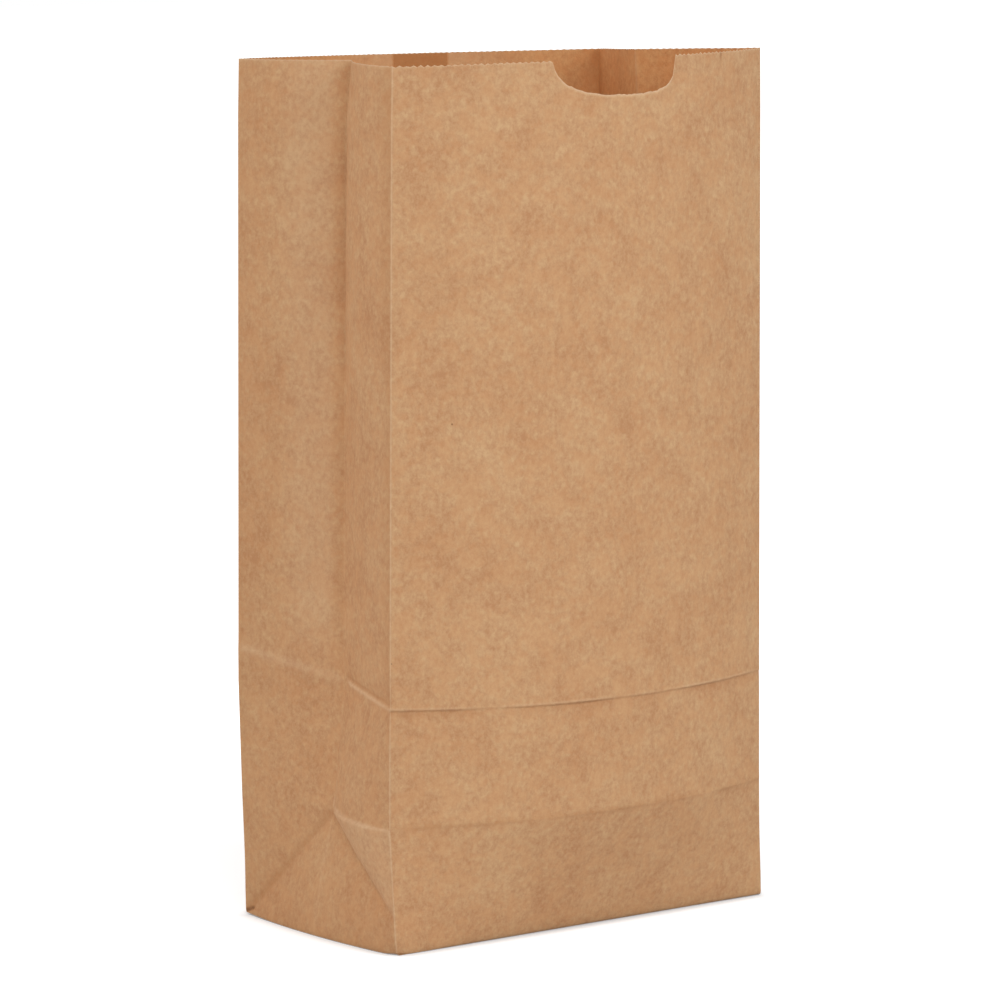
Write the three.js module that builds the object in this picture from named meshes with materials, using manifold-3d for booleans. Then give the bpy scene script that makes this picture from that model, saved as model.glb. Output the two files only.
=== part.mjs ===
// Brown paper lunch bag, opened and standing. One sheet of kraft paper is folded round into a tube with a
// gusset in each side, its edges are lapped and glued down the back panel, and the lower end of the tube is
// folded flat and glued into a square bottom.
// Millimetres, +Z up. The origin is on the resting face, under the middle of the bottom. The panel with the
// thumb notch faces -Y, the gussets face -X and +X, and the glued seam runs up the +Y panel.

import * as THREE from 'three';
import { mergeVertices } from 'three/addons/utils/BufferGeometryUtils.js';
import Module from 'manifold-3d';

// Paper and main sizes
const FACE_WIDTH = 146;
const GUSSET_WIDTH = 78;
const BAG_HEIGHT = 270;
const PAPER = 0.1;
const HALF_GUSSET = GUSSET_WIDTH / 2;

// Creases left by the flat-folded bottom, by their height up the sheet
const LOWER_CREASE = HALF_GUSSET;
const UPPER_CREASE = 75;

// Mouth: a pinked edge, with a thumb notch in the front panel, above the height where the mouth is spread
const TOOTH_PITCH = 2;
const TOOTH_DEPTH = 0.45;
const NOTCH_WIDTH = 48.2;
const NOTCH_DEPTH = 11.2;
const NOTCH_OFFSET = 0.6;
const NOTCH_LEFT_SQUARENESS = 2.2;
const NOTCH_RIGHT_SQUARENESS = 3.8;
const MOUTH_BAND = 18;
const SHOULDER = BAG_HEIGHT - MOUTH_BAND;

// Glued laps: the seam up the back panel, and the two long flaps of the bottom
const SEAM_LAP = 12;
const SEAM_FROM_RIGHT = 18;
const SEAM_RAMP = 3;
const SEAM_EDGE = 0.15;
const BOTTOM_LAP = 14;
const FOLD_ROUND = 0.3;

// The bottom is three layers deep: outer flap, inner flap, and the end flaps that carry the walls
const INNER_FLAP_Z = PAPER;
const END_FLAP_Z = 2 * PAPER;

// Facets
const FRONT_COLUMNS = 20;
const BACK_COLUMNS = 14;
const GUSSET_STEPS = 8;
const MIDDLE_STEPS = 2;
const UPPER_STEPS = 4;

const PAPER_COLOUR = 0xc4976f;
const PAPER_ROUGHNESS = 0.9;

const at = (x, y, z) => new THREE.Vector3(x, y, z);

// How the opened bag stands: where its four upright edges and its two gusset folds are at each level, and
// how far the front and back panels hang below their edges there. The bottom has no gusset fold.
const levels = [
  {
    height: 0,
    frontSag: 0,
    backSag: 0,
    frontLeft: at(-73, -38.9, END_FLAP_Z),
    frontRight: at(73, -38.9, END_FLAP_Z),
    backRight: at(73, 38.9, END_FLAP_Z),
    backLeft: at(-73, 38.9, END_FLAP_Z),
  },
  {
    height: LOWER_CREASE,
    frontSag: 0.1,
    backSag: 0,
    frontLeft: at(-74.2, -37.3, LOWER_CREASE),
    frontRight: at(68.2, -43.8, LOWER_CREASE),
    foldRight: at(64, -5, LOWER_CREASE),
    backRight: at(68.8, 33, LOWER_CREASE),
    backLeft: at(-75, 38.5, LOWER_CREASE),
    foldLeft: at(-67.6, 0.2, 38.4),
  },
  {
    height: UPPER_CREASE,
    frontSag: 0.6,
    backSag: 0,
    frontLeft: at(-72.9, -35.9, UPPER_CREASE),
    frontRight: at(68.3, -43.4, UPPER_CREASE),
    foldRight: at(58.7, -5.6, UPPER_CREASE),
    backRight: at(65.2, 32.7, UPPER_CREASE),
    backLeft: at(-76.6, 37.9, UPPER_CREASE),
    foldLeft: at(-62.3, 1.6, UPPER_CREASE),
  },
  {
    height: SHOULDER,
    frontSag: -0.4,
    backSag: 1.1,
    frontLeft: at(-67.7, -30.7, 251.2),
    frontRight: at(71.5, -38.5, 252.4),
    foldRight: at(44.9, -10, 251.9),
    backRight: at(59, 26.3, 250.7),
    backLeft: at(-74.7, 38.7, 250.9),
    foldLeft: at(-57.6, 5.5, 251),
  },
  {
    height: BAG_HEIGHT,
    frontSag: -0.5,
    backSag: 1.2,
    frontLeft: at(-67, -30.2, 268.8),
    frontRight: at(71.8, -37.9, 270.6),
    foldRight: at(43.4, -10.4, 270),
    backRight: at(58.3, 25.6, 268.3),
    backLeft: at(-74.4, 38.6, 268.7),
    foldLeft: at(-55.3, 5.7, 269),
  },
];

// The sheet's strips in order round the bag. A gusset half also names its corner, fold and far corner.
const panels = [
  facePanel('front', 'frontLeft', 'frontRight', FRONT_COLUMNS),
  gussetHalf('frontRight', 'foldRight', 'backRight', true),
  gussetHalf('backRight', 'foldRight', 'frontRight', false),
  facePanel('back', 'backRight', 'backLeft', BACK_COLUMNS),
  gussetHalf('backLeft', 'foldLeft', 'frontLeft', true),
  gussetHalf('frontLeft', 'foldLeft', 'backLeft', false),
];

function facePanel(face, from, to, columns) {
  return { width: FACE_WIDTH, from, to, columns, face, sag: `${face}Sag` };
}

function gussetHalf(corner, fold, far, startsAtCorner) {
  const from = startsAtCorner ? corner : fold;
  const to = startsAtCorner ? fold : corner;
  return { width: HALF_GUSSET, from, to, corner, fold, far, startsAtCorner, columns: GUSSET_STEPS };
}

// A strip of paper between two points: any width to spare bows it outwards, away from the bag's middle.
function bowed(from, to, width, t) {
  const chord = from.distanceTo(to);
  const spare = Math.max(width - chord, 0);
  const bow = Math.sqrt((3 / 8) * chord * spare);
  const outward = at(to.y - from.y, from.x - to.x, 0).normalize();
  const middle = from.clone().add(to);
  if (outward.dot(middle) < 0) outward.negate();
  return from.clone().lerp(to, t).addScaledVector(outward, hump(t) * bow);
}

// A parabola from 0 at the ends to 1 in the middle.
function hump(t) {
  return 4 * t * (1 - t);
}

function levelPoint(level, panel, t) {
  const point = bowed(level[panel.from], level[panel.to], panel.width, t);
  if (panel.sag) point.z -= level[panel.sag] * hump(t);
  return point;
}

// Below the lower crease a gusset is three cones that meet at the two diagonal folds: one from the bottom
// edge up to the point where the folds meet, and one on each side, from a bottom corner out to the crease.
function bottomGussetPoint(half, t, height) {
  const [bottom, crease] = levels;
  const apex = crease[half.fold];
  const rise = height / LOWER_CREASE;
  const reach = HALF_GUSSET * (half.startsAtCorner ? t : 1 - t);
  if (reach < height) {
    const creasePoint = bowed(crease[half.corner], apex, HALF_GUSSET, reach / height);
    return bottom[half.corner].clone().lerp(creasePoint, rise);
  }
  const along = (reach - height) / (GUSSET_WIDTH - 2 * height);
  return bowed(bottom[half.corner], bottom[half.far], GUSSET_WIDTH, along).lerp(apex, rise);
}

// Where a point of the sheet stands: t runs across its panel and height runs up the sheet.
function sheetPoint(panel, t, height) {
  if (panel.corner && height < LOWER_CREASE) return bottomGussetPoint(panel, t, height);
  const reached = levels.findLastIndex((level) => level.height <= height);
  const lower = levels[Math.min(reached, levels.length - 2)];
  const upper = levels[levels.indexOf(lower) + 1];
  const rise = (height - lower.height) / (upper.height - lower.height);
  return levelPoint(lower, panel, t).lerp(levelPoint(upper, panel, t), rise);
}

// The cut edge of the mouth: zigzag teeth all round, and in the middle of the front panel a notch that is
// rounder on its left side than on its right.
function mouthHeight(panel, t, girth) {
  const phase = girth / TOOTH_PITCH;
  const tooth = TOOTH_DEPTH * 2 * Math.abs(phase - Math.round(phase));
  const offset = (t - 0.5) * panel.width - NOTCH_OFFSET;
  const across = Math.abs(offset) / (NOTCH_WIDTH / 2);
  if (panel.face !== 'front' || across >= 1) return BAG_HEIGHT - tooth;
  const squareness = offset < 0 ? NOTCH_LEFT_SQUARENESS : NOTCH_RIGHT_SQUARENESS;
  const cut = (1 - across ** squareness) ** (1 / squareness);
  return BAG_HEIGHT - NOTCH_DEPTH * cut - tooth;
}

// How far the outer face stands proud where the back panel's edge laps over and is glued down.
function seamLift(panel, t) {
  if (panel.face !== 'back') return 0;
  const across = t * panel.width - SEAM_FROM_RIGHT;
  const ramp = THREE.MathUtils.clamp((across + SEAM_RAMP) / SEAM_RAMP, 0, 1);
  const edge = THREE.MathUtils.clamp((SEAM_LAP + SEAM_EDGE - across) / SEAM_EDGE, 0, 1);
  return PAPER * Math.min(ramp, edge);
}

// Where the seam's ramp and its cut edge begin and end, across the back panel.
function seamPlaces(panel) {
  const offsets = [-SEAM_RAMP, 0, SEAM_LAP, SEAM_LAP + SEAM_EDGE];
  return offsets.map((offset) => (SEAM_FROM_RIGHT + offset) / panel.width);
}

// The columns of facets round the bag, each with its place across its panel and round the whole girth.
function wallColumns() {
  const columns = [];
  let girth = 0;
  for (const panel of panels) {
    const even = Array.from({ length: panel.columns }, (_, i) => i / panel.columns);
    const seam = panel.face === 'back' ? seamPlaces(panel) : [];
    const isClear = (t) => seam.every((place) => Math.abs(place - t) * panel.width > SEAM_RAMP / 2);
    const places = [...even.filter(isClear), ...seam].sort((a, b) => a - b);
    for (const t of places) columns.push({ panel, t, girth: girth + t * panel.width });
    girth += panel.width;
  }
  return { columns, girth };
}

// The heights of the facet rows. Rows below the lower crease match the gusset columns, so that the diagonal
// folds run from corner to corner of the facets.
function wallRows() {
  const steps = (from, to, count) => {
    return Array.from({ length: count }, (_, i) => from + ((to - from) * i) / count);
  };
  return [
    ...steps(0, LOWER_CREASE, GUSSET_STEPS),
    ...steps(LOWER_CREASE, UPPER_CREASE, MIDDLE_STEPS),
    ...steps(UPPER_CREASE, SHOULDER, UPPER_STEPS),
    SHOULDER,
  ];
}

// The mouth's own points over one facet column: its first corner, then every tooth tip and root inside it.
function mouthPoints(column, next, girthEnd) {
  const halfTooth = TOOTH_PITCH / 2;
  const clear = SEAM_EDGE / 2;
  const end = next.girth > column.girth ? next.girth : girthEnd;
  const girths = [column.girth];
  const first = Math.ceil((column.girth + clear) / halfTooth);
  for (let i = first; i * halfTooth < end - clear; i++) girths.push(i * halfTooth);
  return girths.map((girth) => {
    const t = column.t + (girth - column.girth) / column.panel.width;
    const height = mouthHeight(column.panel, t, girth);
    return { point: sheetPoint(column.panel, t, height), lift: seamLift(column.panel, t) };
  });
}

// The open walls of the bag as one skin of facets, wound to face outwards.
function wallSkin() {
  const { columns, girth } = wallColumns();
  const count = columns.length;
  const rows = wallRows();
  const points = [];
  const lifts = [];
  const faces = [];
  for (const height of rows) {
    for (const { panel, t } of columns) {
      points.push(sheetPoint(panel, t, height));
      lifts.push(seamLift(panel, t));
    }
  }
  for (let row = 0; row < rows.length - 1; row++) {
    for (let i = 0; i < count; i++) {
      const right = (i + 1) % count;
      const lower = row * count;
      const upper = lower + count;
      const corners = [lower + i, lower + right, upper + right, upper + i];
      faces.push(...splitQuad(corners, columns[i].panel.startsAtCorner === false));
    }
  }
  const mouth = [];
  const spans = columns.map((column, i) => {
    const start = mouth.length;
    for (const { point, lift } of mouthPoints(column, columns[(i + 1) % count], girth)) {
      mouth.push(points.length);
      points.push(point);
      lifts.push(lift);
    }
    return [start, mouth.length];
  });
  const topRow = (rows.length - 1) * count;
  spans.forEach(([start, end], i) => {
    const edge = [...mouth.slice(start, end), mouth[end % mouth.length]];
    faces.push(...fan(topRow + i, topRow + ((i + 1) % count), edge));
  });
  return { points, lifts, faces, mouth, foot: columns.map((_, i) => i) };
}

// Two triangles of a facet, with the diagonal rising to the right, or to the left.
function splitQuad([a, b, c, d], risesLeft) {
  return risesLeft ? [[a, b, d], [b, c, d]] : [[a, b, c], [a, c, d]];
}

// Triangles from the two lower corners of a facet to the many points of its cut upper edge.
function fan(left, right, edge) {
  const middle = Math.floor(edge.length / 2);
  const faces = [[left, right, edge[middle]]];
  for (let i = 0; i < edge.length - 1; i++) {
    faces.push([i < middle ? left : right, edge[i + 1], edge[i]]);
  }
  return faces;
}

function facets(points, faces) {
  const geometry = new THREE.BufferGeometry().setFromPoints(points);
  geometry.setIndex(faces.flat());
  return geometry;
}

// The walls and the end flaps under them, given the thickness of the paper and closed along the mouth.
function bagShell() {
  const { points, lifts, faces, mouth, foot } = wallSkin();
  const walls = facets(points, faces);
  walls.computeVertexNormals();
  const normal = (i) => new THREE.Vector3().fromBufferAttribute(walls.attributes.normal, i);
  const outer = points.map((point, i) => point.clone().addScaledVector(normal(i), lifts[i]));
  const inner = points.map((point, i) => point.clone().addScaledVector(normal(i), -PAPER));
  for (const i of foot) inner[i].z = END_FLAP_Z + PAPER;

  const middle = points.length;
  outer.push(at(0, 0, END_FLAP_Z));
  inner.push(at(0, 0, END_FLAP_Z + PAPER));

  const inside = (i) => i + outer.length;
  const shell = [...faces];
  for (const [a, b, c] of faces) shell.push([inside(a), inside(c), inside(b)]);
  foot.forEach((a, i) => {
    const b = foot[(i + 1) % foot.length];
    shell.push([middle, b, a], [inside(middle), inside(a), inside(b)]);
  });
  mouth.forEach((a, i) => {
    const b = mouth[(i + 1) % mouth.length];
    shell.push([a, b, inside(b)], [a, inside(b), inside(a)]);
  });
  return facets([...outer, ...inner], shell);
}

// A long flap of the bottom: folded in from a long edge, mitred at its ends where the gusset tucks under,
// and carried on past the middle by the glued lap. side is 1 for the back edge and -1 for the front edge.
function bottomFlap(side, z) {
  const { frontRight } = levels[0];
  const halfWidth = frontRight.x - FOLD_ROUND;
  const halfDepth = -frontRight.y - FOLD_ROUND;
  const tongue = halfWidth - halfDepth;
  const right = [[halfWidth, halfDepth], [tongue, 0], [tongue, -BOTTOM_LAP]];
  const left = right.map(([x, y]) => [-x, y]).reverse();
  const outline = [...right, ...left].map(([x, y]) => new THREE.Vector2(x, y * side));
  const depth = END_FLAP_Z + PAPER / 2 - z;
  const shape = new THREE.Shape(outline);
  return new THREE.ExtrudeGeometry(shape, { depth, bevelEnabled: false }).translate(0, 0, z);
}

const wasm = await Module();
wasm.setup();

function solid(geometry) {
  const bare = geometry.clone();
  bare.deleteAttribute('normal');
  bare.deleteAttribute('uv');
  const merged = mergeVertices(bare);
  const vertProperties = new Float32Array(merged.attributes.position.array);
  const triVerts = new Uint32Array(merged.index.array);
  return new wasm.Manifold(new wasm.Mesh({ numProp: 3, vertProperties, triVerts }));
}

function geometryOf(body) {
  const { vertProperties, triVerts } = body.getMesh();
  const geometry = new THREE.BufferGeometry();
  geometry.setAttribute('position', new THREE.BufferAttribute(vertProperties, 3));
  geometry.setIndex(new THREE.BufferAttribute(triVerts, 1));
  geometry.computeVertexNormals();
  return geometry;
}

// The whole folded sheet: the shell, the front flap against it, and the back flap glued over both.
function paperBag() {
  const innerFlap = solid(bottomFlap(-1, INNER_FLAP_Z));
  const outerFlap = solid(bottomFlap(1, 0));
  const body = solid(bagShell()).add(innerFlap).add(outerFlap);
  const material = new THREE.MeshStandardMaterial({
    color: PAPER_COLOUR,
    roughness: PAPER_ROUGHNESS,
    metalness: 0,
    side: THREE.DoubleSide,
  });
  const mesh = new THREE.Mesh(geometryOf(body), material);
  mesh.name = 'paper_bag';
  return mesh;
}

const bag = new THREE.Group();
bag.add(paperBag());

export default bag;
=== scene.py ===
"""A brown paper lunch bag, opened and standing: the folded kraft sheet, its finish and a plain studio.

The sheet is described in millimetres, by the place across each strip of the flat sheet and the height up it,
and becomes a mesh in metres. -Y is the panel with the thumb notch, -X and +X are the gussets.
"""

import logging
import math
from dataclasses import dataclass, field
from enum import Enum
from typing import Any, Union

import bpy
import numpy as np
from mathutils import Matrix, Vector
from numpy.typing import NDArray


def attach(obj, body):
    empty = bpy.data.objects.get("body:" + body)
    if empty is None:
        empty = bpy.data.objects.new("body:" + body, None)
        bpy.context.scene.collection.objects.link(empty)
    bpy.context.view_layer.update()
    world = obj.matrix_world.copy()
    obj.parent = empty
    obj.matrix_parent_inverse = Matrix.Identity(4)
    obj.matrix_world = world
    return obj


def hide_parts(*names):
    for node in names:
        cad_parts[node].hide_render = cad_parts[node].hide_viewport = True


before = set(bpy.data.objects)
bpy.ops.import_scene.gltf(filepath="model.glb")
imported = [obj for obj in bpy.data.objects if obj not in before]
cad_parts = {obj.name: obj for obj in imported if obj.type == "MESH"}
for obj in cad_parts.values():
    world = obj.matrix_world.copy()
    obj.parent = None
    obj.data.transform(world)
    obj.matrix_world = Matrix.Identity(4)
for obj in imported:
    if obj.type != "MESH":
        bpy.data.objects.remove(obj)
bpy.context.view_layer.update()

MM = 0.001
NODE = "paper_bag"
BODY = "root"
TINY = 1e-6
BLACK = (0.0, 0.0, 0.0, 1.0)
WHITE = (1.0, 1.0, 1.0, 1.0)

Array = NDArray[np.float64]
Point = tuple[float, float, float]
Colour = tuple[float, float, float]

log = logging.getLogger("paper_bag")


def hump(t: Array) -> Array:
    """A parabola from 0 at both ends to 1 in the middle."""
    return 4.0 * t * (1.0 - t)


def smoothstep(low: float, high: float, x: Array) -> Array:
    """An S-curve from 0 at low to 1 at high."""
    t = np.clip((x - low) / (high - low), 0.0, 1.0)
    return t * t * (3.0 - 2.0 * t)


class Strip(Enum):
    """The sheet's strips in order round the bag, each named by the two upright lines it runs between."""

    FRONT = ("front_left", "front_right")
    RIGHT_FRONT = ("front_right", "fold_right")
    RIGHT_BACK = ("fold_right", "back_right")
    BACK = ("back_right", "back_left")
    LEFT_BACK = ("back_left", "fold_left")
    LEFT_FRONT = ("fold_left", "front_left")

    @property
    def is_gusset(self) -> bool:
        """Whether this is one half of a side gusset."""
        return any(line.startswith("fold") for line in self.value)

    @property
    def starts_at_corner(self) -> bool:
        """Whether the strip begins at an upright corner edge and not at a gusset fold."""
        return not self.value[0].startswith("fold")

    @property
    def corner(self) -> str:
        """The corner edge of a gusset half."""
        return self.value[0] if self.starts_at_corner else self.value[1]

    @property
    def fold(self) -> str:
        """The fold of a gusset half."""
        return self.value[1] if self.starts_at_corner else self.value[0]

    @property
    def far_corner(self) -> str:
        """The corner edge on the other side of the same gusset."""
        depth, side = self.corner.split("_")
        return f"{'back' if depth == 'front' else 'front'}_{side}"


@dataclass(frozen=True)
class Level:
    """Where the upright edges and gusset folds stand at one height of the sheet, in millimetres."""

    height: float
    front_left: Point
    front_right: Point
    back_right: Point
    back_left: Point
    fold_right: Point = (0.0, 0.0, 0.0)
    fold_left: Point = (0.0, 0.0, 0.0)
    front_sag: float = 0.0
    back_sag: float = 0.0

    def line(self, name: str) -> Array:
        """The point of one upright line."""
        return np.array(getattr(self, name))


@dataclass(frozen=True)
class FoldedSheet:
    """The sheet's sizes, and how its folded shape stands."""

    face_width: float = 146.0
    gusset_width: float = 78.0
    height: float = 270.0
    paper: float = 0.1
    seam_lap: float = 12.0
    seam_from_right: float = 18.0
    bottom_lap: float = 14.0
    lower_crease: float = 39.0
    upper_crease: float = 75.0
    shoulder: float = 252.0
    notch_width: float = 48.2
    notch_depth: float = 11.2
    notch_offset: float = 0.6
    notch_squareness: tuple[float, float] = (2.2, 3.8)
    notch_lip: float = 2.0
    left_fold_foot: float = 11.0
    facet_blur: float = 0.6
    levels: tuple[Level, ...] = (
        Level(0.0, (-73, -38.9, 0.2), (73, -38.9, 0.2), (73, 38.9, 0.2), (-73, 38.9, 0.2)),
        Level(
            lower_crease,
            (-74.2, -37.3, 39),
            (68.2, -43.8, 39),
            (68.8, 33, 39),
            (-75, 38.5, 39),
            fold_right=(64, -5, 39),
            fold_left=(-67.6, 0.2, 38.4),
            front_sag=0.1,
        ),
        Level(
            upper_crease,
            (-72.9, -35.9, 75),
            (68.3, -43.4, 75),
            (65.2, 32.7, 75),
            (-76.6, 37.9, 75),
            fold_right=(58.7, -5.6, 75),
            fold_left=(-62.3, 1.6, 75),
            front_sag=0.6,
        ),
        Level(
            shoulder,
            (-67.7, -30.7, 251.2),
            (71.5, -38.5, 252.4),
            (59, 26.3, 250.7),
            (-74.7, 38.7, 250.9),
            fold_right=(44.9, -10, 251.9),
            fold_left=(-57.6, 5.5, 251),
            front_sag=-0.4,
            back_sag=1.1,
        ),
        Level(
            height,
            (-67, -30.2, 268.8),
            (71.8, -37.9, 270.6),
            (58.3, 25.6, 268.3),
            (-74.4, 38.6, 268.7),
            fold_right=(43.4, -10.4, 270),
            fold_left=(-55.3, 5.7, 269),
            front_sag=-0.5,
            back_sag=1.2,
        ),
    )

    @property
    def half_gusset(self) -> float:
        """The width of one gusset half."""
        return self.gusset_width / 2

    @property
    def flat_size(self) -> tuple[float, float]:
        """The flat sheet's width and length in metres, with its two glued laps."""
        width = 2 * (self.face_width + self.gusset_width) + self.seam_lap
        length = self.height + self.half_gusset + self.bottom_lap
        return width * MM, length * MM

    def width(self, strip: Strip) -> float:
        """The width of one strip of the sheet."""
        return self.half_gusset if strip.is_gusset else self.face_width

    def bowed(self, start: Array, end: Array, width: float, t: Array) -> Array:
        """A strip of paper between two points, whose spare width bows it away from the bag's middle.

        Args:
            start: The point where the strip begins.
            end: The point where it ends.
            width: The paper's own width between them.
            t: Places across the strip, from 0 to 1, in an array of any shape.

        Returns:
            One point for each place.
        """
        chord = float(np.linalg.norm(end - start))
        # A shallow arc is longer than its chord by 8/3 of its bow squared, over the chord
        bow = math.sqrt(3 / 8 * chord * max(width - chord, 0.0))
        outward = np.array([end[1] - start[1], start[0] - end[0], 0.0])
        outward /= np.linalg.norm(outward)
        if outward @ (start + end) < 0:
            outward = -outward
        return start + t[..., None] * (end - start) + (bow * hump(t))[..., None] * outward

    def mouth_height(self, strip: Strip, across: Array) -> Array:
        """How high the sheet was cut, with the thumb notch in the middle of the front strip.

        Args:
            strip: The strip of the sheet.
            across: Places across it.

        Returns:
            The height of the cut edge at each place.
        """
        if strip is not Strip.FRONT:
            return np.full_like(across, self.height)
        offset = (across - self.face_width / 2 - self.notch_offset) / (self.notch_width / 2)
        squareness = np.where(offset < 0, *self.notch_squareness)
        inside = np.clip(1.0 - np.abs(offset) ** squareness, 0.0, 1.0)
        return self.height - self.notch_depth * inside ** (1 / squareness)

    def in_notch(self, strip: Strip, across: Array) -> NDArray[np.bool_]:
        """Whether the mouth is cut down into the thumb notch at these places."""
        return self.mouth_height(strip, across) < self.height - self.notch_lip

    def fold_foot(self, corner: str) -> float:
        """How far above a bottom corner the gusset's diagonal fold meets the corner edge."""
        return self.left_fold_foot if corner == "front_left" else 0.0

    def points(self, strip: Strip, across: Array, heights: Array) -> Array:
        """Where the points of one strip stand.

        Args:
            strip: The strip of the sheet.
            across: The columns' places across the strip.
            heights: The heights up the sheet, as rows by columns.

        Returns:
            Points as rows by columns by three.
        """
        t = across / self.width(strip)
        levels = self.levels[1:] if strip.is_gusset else self.levels
        lines = np.stack([self._level_line(level, strip, t) for level in levels])
        marks = np.array([level.height for level in levels])
        clipped = np.maximum(heights, marks[0])
        below = np.clip(np.searchsorted(marks, clipped, side="right") - 1, 0, len(levels) - 2)
        rise = (clipped - marks[below]) / (marks[below + 1] - marks[below])
        column = np.arange(len(across))[None, :]
        wall = lines[below, column] * (1 - rise[..., None]) + lines[below + 1, column] * rise[..., None]
        if not strip.is_gusset:
            return wall
        foot = self._gusset_foot(strip, t, heights)
        return np.where((heights < self.lower_crease)[..., None], foot, wall)

    def _level_line(self, level: Level, strip: Strip, t: Array) -> Array:
        """One strip's line at a level, with the sag of a front or back panel.

        Args:
            level: Where the upright lines stand.
            strip: The strip of the sheet.
            t: The columns' places across the strip, from 0 to 1.

        Returns:
            One point for each column.
        """
        start, end = strip.value
        line = self.bowed(level.line(start), level.line(end), self.width(strip), t)
        sags = {Strip.FRONT: level.front_sag, Strip.BACK: level.back_sag}
        line[:, 2] -= sags.get(strip, 0.0) * hump(t)
        return line

    def _gusset_foot(self, strip: Strip, t: Array, heights: Array) -> Array:
        """The gusset below the lower crease: side facets, and a middle one between two diagonal folds.

        Args:
            strip: One half of the gusset.
            t: The columns' places across it, from 0 to 1.
            heights: The heights up the sheet, as rows by columns.

        Returns:
            Points as rows by columns by three, true only below the crease.
        """
        bottom, crease = self.levels[:2]
        apex = crease.line(strip.fold)
        height = np.clip(heights, 0.0, self.lower_crease)
        reach = self.half_gusset * (t if strip.starts_at_corner else 1 - t)[None, :]
        near, near_reach = self._diagonal(strip.corner, apex, height)
        far, far_reach = self._diagonal(strip.far_corner, apex, height)

        foot = self.fold_foot(strip.corner)
        rise = np.clip((height - foot) / (self.lower_crease - foot), TINY, 1.0)
        out = np.clip(reach / np.maximum(near_reach, TINY), 0.0, 1.0)
        edge = self._corner_edge(strip.corner, np.full_like(height, foot))
        side = self.bowed(crease.line(strip.corner), apex, self.half_gusset, out)
        side = edge * (1 - rise[..., None]) + side * rise[..., None]

        span = np.maximum(self.gusset_width - near_reach - far_reach, TINY)
        along = np.clip((reach - near_reach) / span, 0.0, 1.0)
        straight = near * (1 - along[..., None]) + far * along[..., None]
        ends = bottom.line(strip.corner), bottom.line(strip.far_corner)
        bow = self.bowed(*ends, self.gusset_width, along) - self.bowed(*ends, 0.0, along)
        middle = straight + bow * (1 - height / self.lower_crease)[..., None]
        return np.where((reach < near_reach)[..., None], side, middle)

    def on_side_facet(self, strip: Strip, across: Array, heights: Array) -> Array:
        """1 on the gusset's side facets and above its lower crease, 0 on the middle facet of its foot.

        Args:
            strip: One half of the gusset.
            across: Places across it.
            heights: Heights up the sheet, of the same shape.

        Returns:
            A mask with a soft edge along the diagonal fold.
        """
        foot = self.fold_foot(strip.corner)
        rise = np.clip((heights - foot) / (self.lower_crease - foot), 0.0, 1.0)
        reach = across if strip.starts_at_corner else self.half_gusset - across
        beyond = reach - self.half_gusset * rise
        side = smoothstep(self.facet_blur, -self.facet_blur, beyond)
        return np.where(heights > self.lower_crease, 1.0, side)

    def _corner_edge(self, corner: str, height: Array) -> Array:
        """A corner edge's points below the lower crease.

        Args:
            corner: The corner edge's name.
            height: Heights up the sheet.

        Returns:
            One point for each height.
        """
        bottom, crease = self.levels[:2]
        rise = (height / self.lower_crease)[..., None]
        return bottom.line(corner) * (1 - rise) + crease.line(corner) * rise

    def _diagonal(self, corner: str, apex: Array, height: Array) -> tuple[Array, Array]:
        """Where a gusset's diagonal fold runs, or below its foot the corner edge.

        Args:
            corner: The name of the corner edge that the fold comes down to.
            apex: The point of the gusset's middle fold where it starts.
            height: Heights up the sheet.

        Returns:
            The points, and how far across the sheet each is from the corner edge.
        """
        foot = self.fold_foot(corner)
        rise = np.clip((height - foot) / (self.lower_crease - foot), 0.0, 1.0)
        edge = self._corner_edge(corner, np.minimum(height, foot))
        points = edge * (1 - rise[..., None]) + apex * rise[..., None]
        return points, self.half_gusset * rise


class Profile(Enum):
    """The shapes that a crease leaves across itself."""

    STEP = "the paper above stands proud of the paper below"
    VALLEY = "pushed in"
    RIDGE = "pushed out"


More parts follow.
